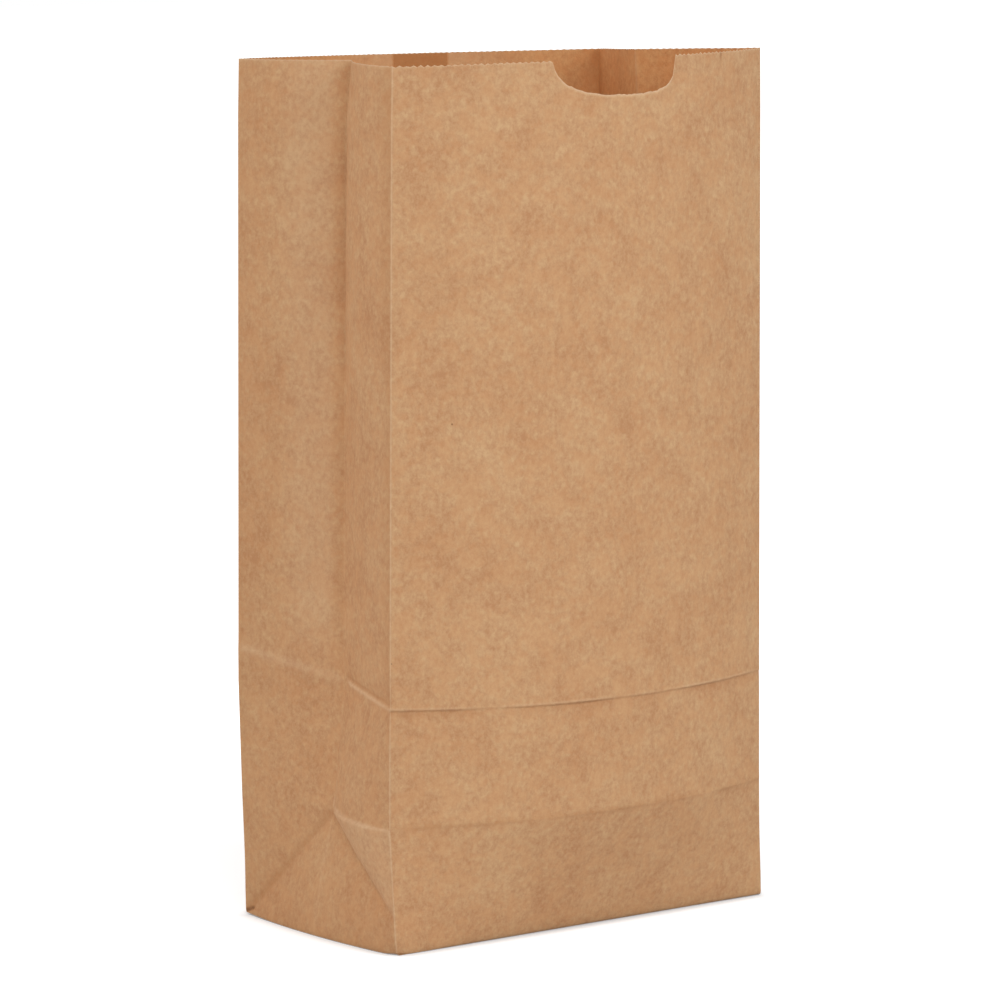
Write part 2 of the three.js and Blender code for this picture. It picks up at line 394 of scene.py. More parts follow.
@dataclass(frozen=True)
class Crease:
    """A straight crease on a strip, from start to end as (place across, height), in millimetres.

    Depth is how far it moves the paper and reach how far that carries. Sharpness is the radius of its line,
    waver how uneven it is along its length, and its two tones how dark and how pale that line is: pressed
    paper with painted shade in the crease, and wear with a painted highlight along the fold.
    """

    start: tuple[float, float]
    end: tuple[float, float]
    profile: Profile
    depth: float
    reach: float
    sharpness: float = 0.45
    waver: float = 0.35
    pressed_and_shaded: float = 1.0
    worn_and_highlit: float = 0.0
    end_fade: tuple[float, float] = (-0.02, 0.05)
    phase_rates: tuple[float, float] = (0.7, 0.3)
    wave_rates: tuple[float, float] = (0.11, 0.27)
    second_wave: float = 0.6
    brightest_line: float = 1.3

    def relief(self, across: Array, heights: Array) -> tuple[Array, Array]:
        """How far the crease moves the paper out, and where its line runs.

        Args:
            across: Places across the strip.
            heights: Heights up the sheet, of the same shape.

        Returns:
            The displacement in millimetres, and a mask along the crease line.
        """
        start, end = np.array(self.start), np.array(self.end)
        length = float(np.linalg.norm(end - start))
        direction = (end - start) / length
        if direction[0] < 0:
            start, end, direction = end, start, -direction
        dx, dy = across - start[0], heights - start[1]
        along = (dx * direction[0] + dy * direction[1]) / length
        above = dy * direction[0] - dx * direction[1]
        first, full = self.end_fade
        ends = smoothstep(first, full, along) * smoothstep(1 - first, 1 - full, along)
        phase = start[0] * self.phase_rates[0] + start[1] * self.phase_rates[1]
        slow, quick = (along * length * rate for rate in self.wave_rates)
        waver = np.sin(slow + phase) + self.second_wave * np.sin(quick + 2 * phase)
        strength = ends * (1.0 + self.waver * waver)
        falloff = np.exp(-np.abs(above) / self.reach)
        if self.profile is Profile.STEP:
            shape = np.tanh(above / self.sharpness) * falloff
        else:
            rounded = np.sqrt(above**2 + self.sharpness**2) - self.sharpness
            shape = np.exp(-rounded / self.reach) * (1 if self.profile is Profile.RIDGE else -1)
        line = strength * np.exp(-((above / (2 * self.sharpness)) ** 2))
        return self.depth * strength * shape, np.clip(line, 0.0, self.brightest_line)


@dataclass(frozen=True)
class CornerWear:
    """How far one corner of the bottom is pushed in and lifted, in millimetres."""

    corner: str
    inward: float
    lift: float
    reach: float = 3.5


@dataclass(frozen=True)
class Ripple:
    """Slow unevenness of the paper between its folds, as a few seeded waves."""

    depth: float
    across: float
    up: float
    waves: int
    seed: int

    def relief(self, girth: Array, heights: Array) -> Array:
        """How far the waves move the paper out.

        Args:
            girth: Places round the bag.
            heights: Heights up the sheet, of the same shape.

        Returns:
            The displacement in millimetres.
        """
        rng = np.random.default_rng(self.seed)
        total = np.zeros_like(heights)
        for _ in range(self.waves):
            kx = rng.normal() * 2 * math.pi / self.across
            ky = rng.normal() * 2 * math.pi / self.up
            total += np.sin(kx * girth + ky * heights + rng.uniform(0, 2 * math.pi))
        return self.depth * total / math.sqrt(self.waves)


@dataclass(frozen=True)
class Streak:
    """A tone along a line of the sheet: its strength on the line, and its reach beside it in millimetres."""

    strength: float
    reach: float

    def at(self, distance: Array) -> Array:
        """The tone at distances from the line."""
        return self.strength * np.exp(-((distance / self.reach) ** 2))


@dataclass(frozen=True)
class FoldTones:
    """Where the folded sheet is darker and paler, from pressing and wear and as painted shade and
    highlights: strengths, and millimetres.
    """

    sheet: FoldedSheet
    front_band: Streak = Streak(0.8, 4.0)
    front_band_top: float = 90.0
    # Painted shade on the middle facet of the gusset's foot, and a painted highlight on the side facet of
    # its front half
    facet_mark: float = 0.3
    facet_highlight: float = 0.28
    # The band beside the gusset's fold: pressed paper, with painted shade of the valley fold
    fold_band: float = 0.45
    fold_band_edge: float = 2.3
    fold_band_waves: tuple[tuple[float, float], ...] = ((0.5, 0.13), (0.3, 0.41))
    fold_band_crispness: float = 4.0
    fold_band_least: float = 0.4
    fold_band_foot: tuple[float, float] = (-1.0, 8.0)
    fold_band_rise: tuple[float, float] = (-10.0, 30.0)
    # Painted shade near the gusset's back corner and a painted highlight in the middle of its back half,
    # where the bowed facet turns from and towards the light
    back_mark: float = 0.35
    back_mark_rise: tuple[float, float] = (18.0, 36.0)
    back_pale: float = 0.25
    back_pale_rise: tuple[float, float] = (2.5, 6.0)
    back_pale_fall: tuple[float, float] = (26.0, 12.0)
    back_pale_fade: float = 30.0
    # Wear along the corner edges, with a painted highlight on the fold's ridge
    corner_line: Streak = Streak(0.9, 0.22)
    foot_fold_line: Streak = Streak(0.18, 0.6)
    foot_fold_gap: float = 3.0
    mouth_wear: float = 1.4
    rim_wear: float = 0.2
    notch_rim_wear: float = 0.6
    # Inside: a painted highlight along the gusset folds and painted shade in the corners
    inner_fold_line: Streak = Streak(0.4, 0.3)
    inner_corner_band: Streak = Streak(1.6, 2.6)
    inner_band: tuple[float, float] = (47.5, 68.5)
    inner_band_blur: float = 0.5
    inner_band_mark: tuple[float, float] = (0.6, 2.0)
    inner_band_rise: tuple[float, float] = (225.0, 262.0)
    inner_pale: Streak = Streak(0.45, 20.0)

    def outer_mark(self, strip: Strip, wide: Array, heights: Array) -> Array:
        """How dark the outer face of a gusset is: painted shade on the middle facet of its foot, and darker
        bands beside its lines, pressed paper and painted shade.

        Args:
            strip: The strip of the sheet.
            wide: Places across it.
            heights: Heights up the sheet, of the same shape.

        Returns:
            The strength of the dark tone at each place.
        """
        if not strip.is_gusset:
            return np.zeros_like(heights)
        low = self.sheet.lower_crease
        from_corner = wide if strip.starts_at_corner else self.sheet.half_gusset - wide
        if strip.corner.startswith("front"):
            band = self.front_band.at(from_corner) * smoothstep(low, self.front_band_top, heights)
        else:
            band = self._fold_band(self.sheet.half_gusset - from_corner, heights)
        middle = 1.0 - self.sheet.on_side_facet(strip, wide, heights)
        return np.maximum(band, self.facet_mark * middle)

    def _fold_band(self, from_fold: Array, heights: Array) -> Array:
        """The band beside a gusset's fold on its back half, pressed paper with painted shade of the valley,
        and painted shade near the back corner.

        Args:
            from_fold: Distances from the fold.
            heights: Heights up the sheet, of the same shape.

        Returns:
            The strength of the dark tone, with an uneven edge along the band.
        """
        low, high = self.sheet.lower_crease, self.sheet.upper_crease
        edge = np.full_like(heights, self.fold_band_edge)
        for phase, (size, rate) in enumerate(self.fold_band_waves):
            edge += size * np.sin(heights * rate + phase)
        rise = smoothstep(*self.fold_band_rise, heights - high)
        fade = self.fold_band_least + (1.0 - self.fold_band_least) * rise
        fade *= smoothstep(*self.fold_band_foot, heights - low)
        band = self.fold_band * fade / (1.0 + np.exp((from_fold - edge) * self.fold_band_crispness))
        return np.maximum(band, self.back_mark * smoothstep(*self.back_mark_rise, from_fold))

    def outer_wear_and_highlight(self, strip: Strip, wide: Array, heights: Array) -> Array:
        """How pale the outer face is: wear with a painted highlight along its corner edges, wear below its
        folds and along its mouth, and painted light on the gussets.

        Args:
            strip: The strip of the sheet.
            wide: Places across it.
            heights: Heights up the sheet, of the same shape.

        Returns:
            The strength of the pale tone at each place.
        """
        below = heights < self.sheet.lower_crease - self.foot_fold_gap
        wear = np.zeros_like(heights)
        for line, distance in zip(strip.value, (wide, self.sheet.width(strip) - wide)):
            if line.startswith("fold"):
                wear = np.maximum(wear, self.foot_fold_line.at(distance) * below)
            else:
                wear = np.maximum(wear, self.corner_line.at(distance))
        # Painted light on the gusset's facets that face the light
        if strip.is_gusset:
            wear = np.maximum(wear, self._gusset_highlight(strip, wide, heights))
        wear[-1] = self.mouth_wear
        rim = np.where(self.sheet.in_notch(strip, wide[-1]), self.notch_rim_wear, self.rim_wear)
        wear[-2] = np.maximum(wear[-2], rim)
        return wear

    def _gusset_highlight(self, strip: Strip, wide: Array, heights: Array) -> Array:
        """Painted light on a gusset: on the side facet of its front half, and in the middle of its back
        half, where they face the light.

        Args:
            strip: One half of the gusset.
            wide: Places across it.
            heights: Heights up the sheet, of the same shape.

        Returns:
            The strength of the pale tone at each place.
        """
        low, high = self.sheet.lower_crease, self.sheet.upper_crease
        if strip.corner.startswith("front"):
            return self.facet_highlight * self.sheet.on_side_facet(strip, wide, heights) * (heights < low)
        from_fold = self.sheet.half_gusset - wide if strip.starts_at_corner else wide
        pale = smoothstep(*self.back_pale_rise, from_fold) * smoothstep(*self.back_pale_fall, from_fold)
        return self.back_pale * pale * smoothstep(high, high + self.back_pale_fade, heights)

    def inner(self, strip: Strip, wide: Array, heights: Array) -> tuple[Array, Array]:
        """How dark and how pale the inner face is.

        Args:
            strip: The strip of the sheet.
            wide: Places across it.
            heights: Heights up the sheet, of the same shape.

        Returns:
            The painted shade in its corners and the dark tone of the back panel's band, and the painted
            highlight along its folds and the pale tone beside that band and along its cut mouth.
        """
        mark, wear = np.zeros_like(wide), np.zeros_like(wide)
        # Painted highlights along the folds, painted shade in the corners
        for line, distance in zip(strip.value, (wide, self.sheet.width(strip) - wide)):
            if line.startswith("fold"):
                wear = np.maximum(wear, self.inner_fold_line.at(distance))
            else:
                mark = np.maximum(mark, self.inner_corner_band.at(distance))
        if strip is Strip.BACK:
            low, high = self.inner_band
            beyond = np.maximum(low - wide, wide - high)
            outside = smoothstep(-self.inner_band_blur, self.inner_band_blur, beyond)
            near_mouth = smoothstep(*self.inner_band_rise, heights)
            deep, shallow = self.inner_band_mark
            mark = np.maximum(mark, (1.0 - outside) * (deep + (shallow - deep) * near_mouth))
            wear = np.maximum(wear, outside * self.inner_pale.at(beyond) * near_mouth)
        wear[-1] = self.mouth_wear
        return mark, wear


@dataclass
class SheetGrid:
    """The sheet as a fine grid of points with what the finish needs to know at each of them."""

    points: Array
    normals: Array
    lift: Array
    girth: Array
    pull: Array
    # Pale and dark tones of the outer and inner faces: wear and pressed creases, with painted highlights and
    # painted shade
    wear: tuple[Array, Array]
    mark: tuple[Array, Array]
    coarse: list[int]
    rises_left: NDArray[np.bool_]
    wall_rows: int

    @property
    def columns(self) -> int:
        """How many columns the whole grid has."""
        return self.points.shape[1]


Number = Union[float, "Value"]


class Value:
    """A number in a node tree, so that node maths can be written as Python expressions."""

    def __init__(self, graph: "Graph", socket: bpy.types.NodeSocket) -> None:
        """Wraps one output socket of a graph."""
        self.graph = graph
        self.socket = socket

    def _math(self, operation: str, *operands: Number) -> "Value":
        """Adds a Math node.

        Args:
            operation: The node's operation.
            operands: Its numbers, in order.

        Returns:
            The node's result.
        """
        node = self.graph.node("ShaderNodeMath", {"operation": operation})
        for socket, operand in zip(node.inputs, operands):
            self.graph.feed(socket, operand)
        return Value(self.graph, node.outputs[0])

    def __add__(self, other: Number) -> "Value":
        """self + other."""
        return self._math("ADD", self, other)

    __radd__ = __add__

    def __mul__(self, other: Number) -> "Value":
        """self * other."""
        return self._math("MULTIPLY", self, other)

    __rmul__ = __mul__

    def __sub__(self, other: Number) -> "Value":
        """self - other."""
        return self._math("SUBTRACT", self, other)

    def __rsub__(self, other: Number) -> "Value":
        """other - self."""
        return self._math("SUBTRACT", other, self)

    def __truediv__(self, other: Number) -> "Value":
        """self / other."""
        return self._math("DIVIDE", self, other)

    def rounded(self) -> "Value":
        """The nearest whole number."""
        return self._math("ROUND", self)

    def absolute(self) -> "Value":
        """The size without its sign."""
        return self._math("ABSOLUTE", self)

    def ramp(self, low: float, high: float) -> "Value":
        """A smooth rise from 0 at low to 1 at high, or a fall if low is the greater."""
        settings = {"interpolation_type": "SMOOTHSTEP"}
        ends = {"From Min": low, "From Max": high}
        return self.graph.value("ShaderNodeMapRange", settings, Value=self, **ends)


class Graph:
    """A node tree and the one way that its nodes are made."""

    def __init__(self, tree: bpy.types.NodeTree) -> None:
        """Keeps the tree."""
        self.tree = tree

    def feed(self, socket: bpy.types.NodeSocket, source: Any) -> None:
        """Gives a socket a link or a plain value.

        Args:
            socket: The input socket.
            source: A wrapped number, an output socket or a plain value.
        """
        if isinstance(source, Value):
            source = source.socket
        if isinstance(source, bpy.types.NodeSocket):
            self.tree.links.new(source, socket)
        else:
            socket.default_value = source

    def node(self, kind: str, settings: dict[str, Any] | None = None, **sockets: Any) -> bpy.types.Node:
        """Adds a node.

        Args:
            kind: The node's type.
            settings: Its settings, which are set first.
            sockets: Values or links by socket name, with _ for a space.

        Returns:
            The node.
        """
        node = self.tree.nodes.new(kind)
        for name, setting in (settings or {}).items():
            setattr(node, name, setting)
        for name, source in sockets.items():
            wanted = name.replace("_", " ")
            open_sockets = [s for s in node.inputs if s.name == wanted and s.enabled]
            self.feed(open_sockets[0], source)
        return node

    def value(
        self, kind: str, settings: dict[str, Any] | None = None, output: int = 0, **sockets: Any
    ) -> Value:
        """Adds a node and wraps one of its outputs as a number."""
        return Value(self, self.node(kind, settings, **sockets).outputs[output])

    def mix(self, factor: Number, first: Any, second: Any, blend: str = "MIX") -> bpy.types.NodeSocket:
        """Adds a colour mix.

        Args:
            factor: How much of the second colour shows.
            first: A colour, or a socket that gives one.
            second: Likewise.
            blend: How the second is laid over the first.

        Returns:
            The socket of the mixed colour.
        """
        node = self.node("ShaderNodeMix", {"data_type": "RGBA", "blend_type": blend})
        self.feed(node.inputs["Factor"], factor)
        self.feed(node.inputs[6], first)
        self.feed(node.inputs[7], second)
        return node.outputs[2]

    def mix_shader(self, factor: Any, first: bpy.types.Node, second: bpy.types.Node) -> bpy.types.Node:
        """Adds a mix of two shaders.

        Args:
            factor: How much of the second shader shows.
            first: A shader's node.
            second: Likewise.

        Returns:
            The node of the mixed shader.
        """
        node = self.node("ShaderNodeMixShader")
        for socket, source in zip(node.inputs, (factor, first.outputs[0], second.outputs[0])):
            self.feed(socket, source)
        return node


class PinkedMouth:
    """A Geometry Nodes tree that cuts zigzag teeth into the mouth's edge."""

    def __init__(self, pitch: float, depth: float, jitter: float, seed: int) -> None:
        """Keeps the teeth's sizes in metres, their unevenness as a share of the depth, and a seed."""
        self.values = {"Pitch": pitch, "Depth": depth, "Jitter": jitter, "Seed": seed}

    def _tree(self) -> bpy.types.GeometryNodeTree:
        """Builds the tree.

        Returns:
            A tree with a named input for each size.
        """
        tree = bpy.data.node_groups.new("pinked_mouth", "GeometryNodeTree")
        face = tree.interface
        face.new_socket("Geometry", in_out="INPUT", socket_type="NodeSocketGeometry")
        for name in ("Pitch", "Depth", "Jitter"):
            face.new_socket(name, in_out="INPUT", socket_type="NodeSocketFloat")
        face.new_socket("Seed", in_out="INPUT", socket_type="NodeSocketInt")
        face.new_socket("Material", in_out="INPUT", socket_type="NodeSocketMaterial")
        face.new_socket("Geometry", in_out="OUTPUT", socket_type="NodeSocketGeometry")
        graph = Graph(tree)
        given = graph.node("NodeGroupInput")
        girth = graph.value("GeometryNodeInputNamedAttribute", {"data_type": "FLOAT"}, Name="girth")
        pull = graph.value("GeometryNodeInputNamedAttribute", {"data_type": "FLOAT"}, Name="pull")
        phase = girth / Value(graph, given.outputs["Pitch"])
        root = (phase - phase.rounded()).absolute() * 2.0
        cell = graph.value(
            "FunctionNodeRandomValue",
            {"data_type": "FLOAT"},
            output=1,
            Min=-1.0,
            Max=1.0,
            ID=(phase * 2.0).rounded(),
            Seed=given.outputs["Seed"],
        )
        jitter, depth = (Value(graph, given.outputs[name]) for name in ("Jitter", "Depth"))
        drop = (root + cell * jitter) * depth * pull
        offset = graph.node("ShaderNodeCombineXYZ", Z=drop * -1.0).outputs[0]
        moved = graph.node("GeometryNodeSetPosition", Geometry=given.outputs["Geometry"], Offset=offset)
        solid = graph.node("GeometryNodeRealizeInstances", Geometry=moved.outputs[0]).outputs[0]
        finish = given.outputs["Material"]
        dressed = graph.node("GeometryNodeSetMaterial", Geometry=solid, Material=finish)
        graph.node("NodeGroupOutput", Geometry=dressed.outputs[0])
        return tree

    def cut(self, piece: bpy.types.Object, material: bpy.types.Material) -> None:
        """Cuts the teeth into a piece whose mesh has girth and pull attributes, and makes it plain again.

        Args:
            piece: The bag.
            material: The finish that the tree sets.
        """
        modifier = piece.modifiers.new("pinked_mouth", "NODES")
        modifier.node_group = self._tree()
        for item in modifier.node_group.interface.items_tree:
            if item.in_out == "INPUT" and item.name in self.values:
                modifier[item.identifier] = self.values[item.name]
            elif item.in_out == "INPUT" and item.name == "Material":
                modifier[item.identifier] = material
        evaluated = piece.evaluated_get(bpy.context.evaluated_depsgraph_get())
        mesh = bpy.data.meshes.new_from_object(evaluated)
        piece.modifiers.remove(modifier)
        piece.data = mesh


@dataclass(frozen=True)
class Mottle:
    """A noise in the pulp: its scale, its detail, its roughness, and how strongly it shows."""

    scale: float
    detail: float
    roughness: float
    strength: float

    def over(self, graph: Graph, place: bpy.types.NodeSocket) -> Value:
        """The noise from about 0 to 1 at each place."""
        shape = {"Scale": self.scale, "Detail": self.detail, "Roughness": self.roughness}
        return graph.value("ShaderNodeTexNoise", Vector=place, **shape)


@dataclass(frozen=True)
class KraftPaper:
    """Natural kraft: cloudy pulp with fibres, pale worn folds and darker pressed creases, with painted
    highlights on folds, painted shade and shadow in creases and a painted glow on the inner faces.
    """

    light: Colour = (0.617, 0.387, 0.204)
    dark: Colour = (0.490, 0.248, 0.116)
    # The pale of wear and of painted highlights, the dark of pressed creases and of painted shade, and the
    # dark flecks, which also paint the shadow deep in creases
    worn_and_highlit: Colour = (0.710, 0.490, 0.300)
    pressed_and_shaded: Colour = (0.430, 0.200, 0.080)
    fleck: Colour = (0.190, 0.090, 0.040)
    # A painted glow: the inner faces are multiplied brighter and warmer, in place of light that comes
    # through the paper and bounces inside
    inside: Colour = (1.22, 1.06, 0.86)
    blush: Colour = (0.590, 0.300, 0.135)
    clouds: Mottle = Mottle(38.0, 4.0, 0.95, 2.05)
    fibres: Mottle = Mottle(640.0, 2.0, 0.85, 1.95)
    blushes: Mottle = Mottle(150.0, 3.0, 0.8, 0.4)
    blush_rise: tuple[float, float] = (0.42, 0.62)
    grain_stretch: float = 0.82
    fleck_scale: float = 55.0
    fleck_share: float = 0.10
    fleck_share_edge: float = 0.9
    fleck_size: float = 0.022
    fleck_core: float = 0.4
    fleck_strength: float = 0.75
    pressed_and_shaded_strength: float = 0.35
    # How the deepest marks turn to the flecks' dark brown: painted shadow in creases, slits and tucks
    crease_shadow_rise: tuple[float, float] = (1.4, 3.4)
    crease_shadow_strength: float = 0.85
    worn_and_highlit_strength: tuple[float, float] = (0.35, 0.7)
    roughness: float = 0.82
    fibre_roughness: float = 0.12
    sheen: float = 0.25
    bump_strength: float = 0.5
    bump_height: float = 0.0003

    def make(self) -> bpy.types.Material:
        """Builds the material.

        Returns:
            A matt paper that reads the sheet's masks.
        """
        material = bpy.data.materials.new("kraft_paper")
        material.use_nodes = True
        material.node_tree.nodes.clear()
        graph = Graph(material.node_tree)
        place = graph.node("ShaderNodeTexCoord").outputs["Object"]
        stretch = (1.0, 1.0, self.grain_stretch)
        grain = graph.node("ShaderNodeMapping", Vector=place, Scale=stretch).outputs[0]
        fibres = self.fibres.over(graph, grain)
        colour = self._pulp(graph, place, fibres)

        # Darker where creases were pressed, and painted shade on facets, valleys and inside corners
        pressed_and_shaded = self._mask(graph, "pressed_and_shade_mark")
        colour = graph.mix(pressed_and_shaded * self.pressed_and_shaded_strength, colour, (*self.pressed_and_shaded, 1.0))
        # Painted shadow: the strongest marks are darkened to the flecks' brown
        painted_crease_shadow = pressed_and_shaded.ramp(*self.crease_shadow_rise) * self.crease_shadow_strength
        colour = graph.mix(painted_crease_shadow, colour, (*self.fleck, 1.0))
        # Painted glow on the inner faces, brighter and warmer than the paper's own colour
        colour = graph.mix(self._mask(graph, "inside"), colour, (*self.inside, 1.0), "MULTIPLY")
        # Paler where worn, and painted highlights on ridges and on facets that face the light
        plain, along_fibres = self.worn_and_highlit_strength
        worn_and_highlit = self._mask(graph, "fold_wear") * (plain + fibres * along_fibres)
        colour = graph.mix(worn_and_highlit, colour, (*self.worn_and_highlit, 1.0))

        relief = {"Strength": self.bump_strength, "Distance": self.bump_height}
        shader = graph.node(
            "ShaderNodeBsdfPrincipled",
            Base_Color=colour,
            Roughness=self.roughness + (fibres - 0.5) * self.fibre_roughness,
            Specular_IOR_Level=self.sheen,
            Normal=graph.node("ShaderNodeBump", Height=fibres, **relief).outputs[0],
        )
        graph.node("ShaderNodeOutputMaterial", Surface=shader.outputs[0])
        return material

    def _pulp(self, graph: Graph, place: bpy.types.NodeSocket, fibres: Value) -> bpy.types.NodeSocket:
        """The colour of flat paper.

        Args:
            graph: The material's nodes.
            place: The place on the piece.
            fibres: The noise of the fibres.

        Returns:
            Clouds and fibres between two browns, with blushes and a few dark flecks.
        """
        clouds = self.clouds.over(graph, place)
        tone = 0.5 + (clouds - 0.5) * self.clouds.strength + (fibres - 0.5) * self.fibres.strength
        colour = graph.mix(tone, (*self.dark, 1.0), (*self.light, 1.0))
        blush = self.blushes.over(graph, place).ramp(*self.blush_rise) * self.blushes.strength
        colour = graph.mix(blush, colour, (*self.blush, 1.0))

        spots = graph.node("ShaderNodeTexVoronoi", Vector=place, Scale=self.fleck_scale)
        chosen = graph.node("ShaderNodeSeparateColor", Color=spots.outputs["Color"]).outputs[0]
        size, share = self.fleck_size, self.fleck_share
        near = Value(graph, spots.outputs["Distance"]).ramp(size, size * self.fleck_core)
        fleck = near * Value(graph, chosen).ramp(share, share * self.fleck_share_edge)
        return graph.mix(fleck * self.fleck_strength, colour, (*self.fleck, 1.0))

    @staticmethod
    def _mask(graph: Graph, name: str) -> Value:
        """A mask that the sheet's mesh holds as an attribute."""
        return graph.value("ShaderNodeAttribute", {"attribute_name": name}, output=2)


@dataclass
class MeshParts:
    """Points and faces gathered for one mesh."""

    points: list[Array] = field(default_factory=list)
    faces: list[list[int]] = field(default_factory=list)

    def add(self, points: Array, faces: list[list[int]]) -> int:
        """Adds points and the faces between them.

        Args:
            points: The new points.
            faces: Faces, counted from the first new point.

        Returns:
            The index of the first new point.
        """
        first = sum(len(block) for block in self.points)
        self.points.append(points)
        self.faces.extend([[first + i for i in face] for face in faces])
        return first

    def plate(self, outline: list[tuple[float, float]], low: float, high: float) -> None:
        """Adds a flat plate.

        Args:
            outline: The plate's corners in order.
            low: The height of its lower face.
            high: The height of its upper face.
        """
        turn = sum(a[0] * b[1] - b[0] * a[1] for a, b in zip(outline, outline[1:] + outline[:1]))
        ring = outline if turn > 0 else outline[::-1]
        count = len(ring)
        points = np.array([(*p, low) for p in ring] + [(*p, high) for p in ring])
        sides = [[i, (i + 1) % count, (i + 1) % count + count, i + count] for i in range(count)]
        self.add(points, [list(range(count))[::-1], list(range(count, 2 * count)), *sides])


@dataclass
class PaperBag:
    """The bag itself: walls, mouth and square bottom, all of one folded sheet."""

    sheet: FoldedSheet = field(default_factory=FoldedSheet)
    finish: KraftPaper = field(default_factory=KraftPaper)
    mouth: PinkedMouth = field(default_factory=lambda: PinkedMouth(2 * MM, 0.45 * MM, 0.25, 7))
    face_step: float = 2.0
    fold_step: float = 0.35
    edge_rows: tuple[float, ...] = (1.0, 0.4, 0.0)
    edge_pull: tuple[float, ...] = (0.15, 0.5, 1.0)
    front_teeth: float = 1.1
    other_teeth: float = 0.3
    notch_teeth: float = 0.1
    corner_wear: tuple[CornerWear, ...] = (
        CornerWear("front_left", 1.3, 0.3),
        CornerWear("front_right", -0.5, 0.1, 16.0),
        CornerWear("back_right", 0.4, 0.3),
        CornerWear("back_left", -0.6, 0.5, 12.0),
    )
    foot_round: float = 0.25
    notch_tear: float = 0.13
    tear_seed: int = 41
    slit: float = 120.5
    seam_ramp: float = 3.0
    seam_edge: float = 0.2
    column_step: float = 1.0
    upper_rows: int = 26
    shoulder_rows: tuple[float, ...] = (0.25, 0.5, 0.75)
    flap_inset: float = 0.3
    flap_gap: float = 0.01
    ripples: tuple[Ripple, ...] = (Ripple(0.35, 70.0, 110.0, 7, 11), Ripple(0.06, 16.0, 30.0, 9, 23))
    ripple_rise: float = 2.5
    ripple_foot: float = 25.0
    ripple_shift: float = 100.0
    sharp_angle: float = 60.0

    @property
    def tones(self) -> FoldTones:
        """The sheet's darker and paler places."""
        return FoldTones(self.sheet)

    def creases(self, strip: Strip) -> list[Crease]:
        """The creases that the flat-folded bottom and the glued seam pressed into a strip.

        Args:
            strip: The strip of the sheet.

        Returns:
            Its creases. The numbers after each profile are the depth, reach, sharpness and waver.
        """
        sheet = self.sheet
        half, low, high = sheet.half_gusset, sheet.lower_crease, sheet.upper_crease
        wide, left, right = sheet.face_width, -4.0, sheet.face_width + 4.0
        foot, slit, top = sheet.left_fold_foot, self.slit, sheet.height
        below, above = -9.0, top + 10.0
        seam, seam_end = sheet.seam_from_right, self._seam_end()
        step, valley, ridge = Profile.STEP, Profile.VALLEY, Profile.RIDGE
        # Dark lines are pressed paper with painted shade in the creases; pale lines are painted highlights
        # where folds face the light, with some wear
        every = {
            Strip.FRONT: [
                Crease((left, high), (right, high - 1), step, 0.40, 3.5, 0.32, 0.35, pressed_and_shaded=0.5),
                Crease(
                    (left, high + 0.6), (right, high - 0.4), ridge, 0.04, 0.6, 0.2, 0.5,
                    pressed_and_shaded=0.0, worn_and_highlit=0.35,
                ),
                Crease((left, high - 0.9), (right, high - 1.9), valley, 0.04, 1.5, 0.6, 0.5, pressed_and_shaded=0.7),
                # Painted shadow in the slit
                Crease((slit, top - 4), (slit, top + 1), valley, 0.12, 0.5, 0.25, 0.0, pressed_and_shaded=2.8),
                Crease((0, low), (0.78 * wide, low), step, 0.09, 4.0, 0.45, 0.4, pressed_and_shaded=0.7),
                Crease((0.84 * wide, low - 0.4), (wide + 2, low), step, 0.24, 3.0, 0.5, 0.2),
            ],
            Strip.RIGHT_FRONT: [
                Crease((0, high), (half - 3, high + 4), valley, 0.8, 2.6, 0.35, 0.1),
                Crease((0, low), (half, low), step, -0.3, 6.0, 0.3, 0.1, pressed_and_shaded=0.0, worn_and_highlit=0.7),
                Crease((0, 0), (half, low), valley, 0.2, 3.0, 0.35, 0.1, pressed_and_shaded=0.8),
            ],
            Strip.RIGHT_BACK: [
                Crease((0, low), (half, 0), valley, 0.2, 4.0, 0.9, 0.1, pressed_and_shaded=0.45),
                Crease((2, high + 3.5), (half, high + 2), ridge, 0.2, 3.0, pressed_and_shaded=0.0, worn_and_highlit=0.3),
            ],
            Strip.BACK: [
                Crease((0, high), (wide, high), step, 0.16, 4.0, pressed_and_shaded=0.6),
                # Painted shadow along the lap's cut edge
                Crease((seam_end, below), (seam_end, above), valley, 0.05, 1.0, 0.22, 0.1, pressed_and_shaded=2.2),
                Crease((seam, below), (seam, above), ridge, 0.03, 2.0, 0.5, 0.4, pressed_and_shaded=0.4),
            ],
            Strip.LEFT_BACK: [
                Crease((half, low), (0, 0), valley, 0.45, 3.0, 0.8, 0.1, pressed_and_shaded=1.25),
                Crease((0, high + 11), (half, high + 3.6), ridge, 0.3, 2.5, 0.7, 0.2, pressed_and_shaded=0.0, worn_and_highlit=0.4),
                # Painted shadow in the tucked bottom corner
                Crease((-0.5, 0.4), (4.5, 2.4), valley, 0.15, 0.8, 0.45, 0.0, pressed_and_shaded=3.2),
            ],
            Strip.LEFT_FRONT: [
                Crease((2, high + 5), (half + 1, high + 1.5), valley, 1.0, 2.2, 0.3, 0.1, pressed_and_shaded=1.3),
                Crease(
                    (3, high + 3.6), (half + 1, high + 0.2), ridge, 0.35, 0.9, 0.3, 0.1,
                    pressed_and_shaded=0.0, worn_and_highlit=0.8,
                ),
                Crease(
                    (0, low + 1), (half + 1, low - 0.6), step, -0.4, 5.0, 0.3, 0.1,
                    pressed_and_shaded=0.0, worn_and_highlit=0.8,
                ),
                Crease((-1, low + 1), (half, foot), valley, 0.4, 3.0, 0.3, 0.1),
                # Painted highlight of a small ridge above the apex
                Crease((-0.2, low + 2), (1.4, low + 4.5), ridge, 0.25, 0.8, 0.3, 0.0, pressed_and_shaded=0.0, worn_and_highlit=0.8),
            ],
        }
        return every[strip]

